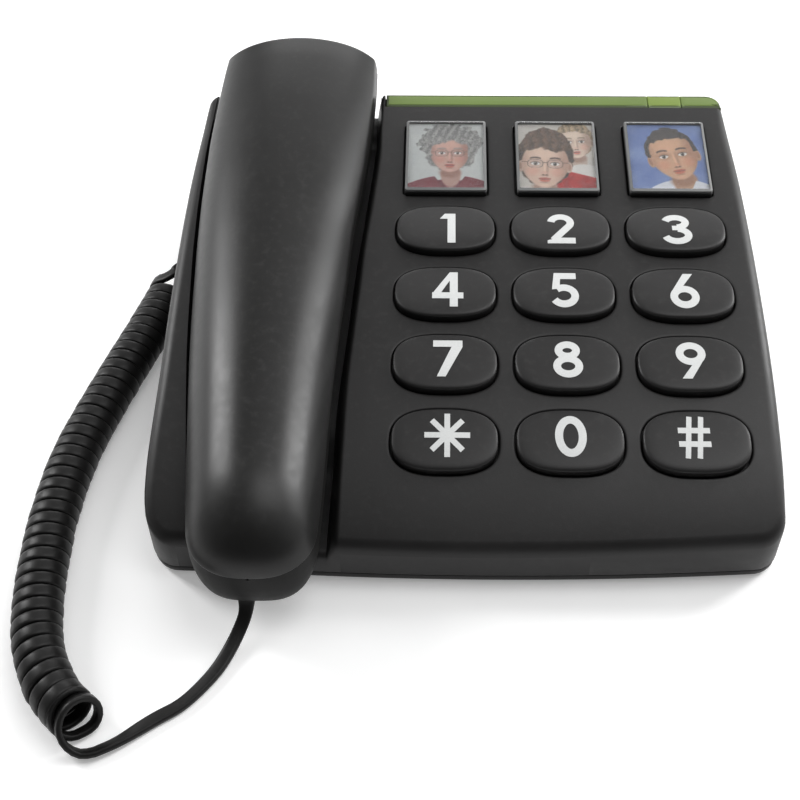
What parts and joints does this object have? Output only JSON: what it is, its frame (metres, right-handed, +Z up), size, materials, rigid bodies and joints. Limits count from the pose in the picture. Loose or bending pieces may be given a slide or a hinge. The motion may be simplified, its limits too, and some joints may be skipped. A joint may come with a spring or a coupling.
{
  "type": "corded desk telephone",
  "caption": "Corded desk telephone: keypad base with large oval keys and picture keys, handset lying across the left side, curly handset cord.",
  "frame": {"origin": "on the table under the middle of the phone's footprint, handset included and free cord left out", "axes": "+Z up, the front edge with the keypad's bottom row faces -Y, the handset lies on the -X side"},
  "size_m": [0.2332, 0.256, 0.0644],
  "materials": {
    "housing_plastic": "satin, fine moulded grain",
    "handset_plastic": "satin, smooth",
    "key_plastic": "satin",
    "picture_card_1": "printed card",
    "picture_card_2": "printed card",
    "picture_card_3": "printed card",
    "clear_plastic": "clear, glossy",
    "green_trim": "satin gloss",
    "indicator_lens": "translucent, glossy",
    "rubber": "matt",
    "circuit_board": "solder mask",
    "steel": "zinc plated",
    "grey_plastic": "satin",
    "black_plastic": "matt",
    "cord_jacket": "satin"
  },
  "bodies": {
    "base": {"base_top_housing": "housing_plastic", "base_bottom_housing": "housing_plastic", "base_end_plug": "clear_plastic", "green_trim_strip": "green_trim", "ring_indicator_lens": "indicator_lens", "ring_indicator_led": "indicator_lens", "rubber_foot_1": "rubber", "rubber_foot_2": "rubber", "rubber_foot_3": "rubber", "rubber_foot_4": "rubber", "keypad_rubber_mat": "rubber", "keypad_board": "circuit_board", "main_board": "circuit_board", "base_screw_1": "steel", "base_screw_2": "steel", "base_screw_3": "steel", "base_screw_4": "steel", "base_weight": "steel", "hook_spring": "steel", "line_jack": "grey_plastic", "base_handset_jack": "grey_plastic", "volume_switch_body": "black_plastic", "hook_switch": "black_plastic", "ringer_sounder": "black_plastic", "cord_straight": "cord_jacket", "cord_coil": "cord_jacket", "cord_base_tail": "cord_jacket"},
    "handset": {"handset_back_shell": "handset_plastic", "handset_face_shell": "handset_plastic", "receiver_capsule": "black_plastic", "microphone_capsule": "black_plastic", "handset_weight": "steel", "handset_screw": "steel", "handset_jack": "grey_plastic", "handset_end_plug": "clear_plastic"},
    "key_1": {"key_1": "key_plastic"},
    "key_2": {"key_2": "key_plastic"},
    "key_3": {"key_3": "key_plastic"},
    "key_4": {"key_4": "key_plastic"},
    "key_5": {"key_5": "key_plastic"},
    "key_6": {"key_6": "key_plastic"},
    "key_7": {"key_7": "key_plastic"},
    "key_8": {"key_8": "key_plastic"},
    "key_9": {"key_9": "key_plastic"},
    "key_star": {"key_star": "key_plastic"},
    "key_0": {"key_0": "key_plastic"},
    "key_hash": {"key_hash": "key_plastic"},
    "picture_key_1": {"picture_key_1": "key_plastic", "picture_card_1": "picture_card_1", "picture_cover_1": "clear_plastic"},
    "picture_key_2": {"picture_key_2": "key_plastic", "picture_card_2": "picture_card_2", "picture_cover_2": "clear_plastic"},
    "picture_key_3": {"picture_key_3": "key_plastic", "picture_card_3": "picture_card_3", "picture_cover_3": "clear_plastic"},
    "hook_plunger": {"hook_plunger": "grey_plastic"},
    "volume_slider": {"ringer_volume_slider": "grey_plastic"}
  },
  "joints": [
    {"name": "handset_lift", "type": "slide", "parent": "base", "child": "handset", "axis": [0, 0, 1], "range_m": [0, 0.12]},
    {"name": "key_star_press", "type": "slide", "parent": "base", "child": "key_star", "axis": [0, 0.2758, -0.9612], "range_m": [0, 0.002], "stiffness_N_per_m": 400, "springref_m": -0.0015},
    {"name": "key_0_press", "type": "slide", "parent": "base", "child": "key_0", "axis": [0, 0.2758, -0.9612], "range_m": [0, 0.002], "stiffness_N_per_m": 400, "springref_m": -0.0015},
    {"name": "key_hash_press", "type": "slide", "parent": "base", "child": "key_hash", "axis": [0, 0.2758, -0.9612], "range_m": [0, 0.002], "stiffness_N_per_m": 400, "springref_m": -0.0015},
    {"name": "key_7_press", "type": "slide", "parent": "base", "child": "key_7", "axis": [0, 0.1882, -0.9821], "range_m": [0, 0.002], "stiffness_N_per_m": 400, "springref_m": -0.0015},
    {"name": "key_8_press", "type": "slide", "parent": "base", "child": "key_8", "axis": [0, 0.1882, -0.9821], "range_m": [0, 0.002], "stiffness_N_per_m": 400, "springref_m": -0.0015},
    {"name": "key_9_press", "type": "slide", "parent": "base", "child": "key_9", "axis": [0, 0.1882, -0.9821], "range_m": [0, 0.002], "stiffness_N_per_m": 400, "springref_m": -0.0015},
    {"name": "key_4_press", "type": "slide", "parent": "base", "child": "key_4", "axis": [0, 0.1354, -0.9908], "range_m": [0, 0.002], "stiffness_N_per_m": 400, "springref_m": -0.0015},
    {"name": "key_5_press", "type": "slide", "parent": "base", "child": "key_5", "axis": [0, 0.1354, -0.9908], "range_m": [0, 0.002], "stiffness_N_per_m": 400, "springref_m": -0.0015},
    {"name": "key_6_press", "type": "slide", "parent": "base", "child": "key_6", "axis": [0, 0.1354, -0.9908], "range_m": [0, 0.002], "stiffness_N_per_m": 400, "springref_m": -0.0015},
    {"name": "key_1_press", "type": "slide", "parent": "base", "child": "key_1", "axis": [0, 0.1038, -0.9946], "range_m": [0, 0.002], "stiffness_N_per_m": 400, "springref_m": -0.0015},
    {"name": "key_2_press", "type": "slide", "parent": "base", "child": "key_2", "axis": [0, 0.1038, -0.9946], "range_m": [0, 0.002], "stiffness_N_per_m": 400, "springref_m": -0.0015},
    {"name": "key_3_press", "type": "slide", "parent": "base", "child": "key_3", "axis": [0, 0.1038, -0.9946], "range_m": [0, 0.002], "stiffness_N_per_m": 400, "springref_m": -0.0015},
    {"name": "picture_key_1_press", "type": "slide", "parent": "base", "child": "picture_key_1", "axis": [0, 0.0819, -0.9966], "range_m": [0, 0.002], "stiffness_N_per_m": 400, "springref_m": -0.0015},
    {"name": "picture_key_2_press", "type": "slide", "parent": "base", "child": "picture_key_2", "axis": [0, 0.0819, -0.9966], "range_m": [0, 0.002], "stiffness_N_per_m": 400, "springref_m": -0.0015},
    {"name": "picture_key_3_press", "type": "slide", "parent": "base", "child": "picture_key_3", "axis": [0, 0.0819, -0.9966], "range_m": [0, 0.002], "stiffness_N_per_m": 400, "springref_m": -0.0015},
    {"name": "hook_plunger_rise", "type": "slide", "parent": "base", "child": "hook_plunger", "axis": [0, 0, 1], "range_m": [0, 0.004], "deforming": ["hook_spring"]},
    {"name": "volume_slide", "type": "slide", "parent": "base", "child": "volume_slider", "axis": [1, 0, 0], "range_m": [0, 0.006]}
  ],
  "couplings": [
    {"joint": "hook_plunger_rise", "follows": "handset_lift", "ratio": 0.033333}
  ]
}
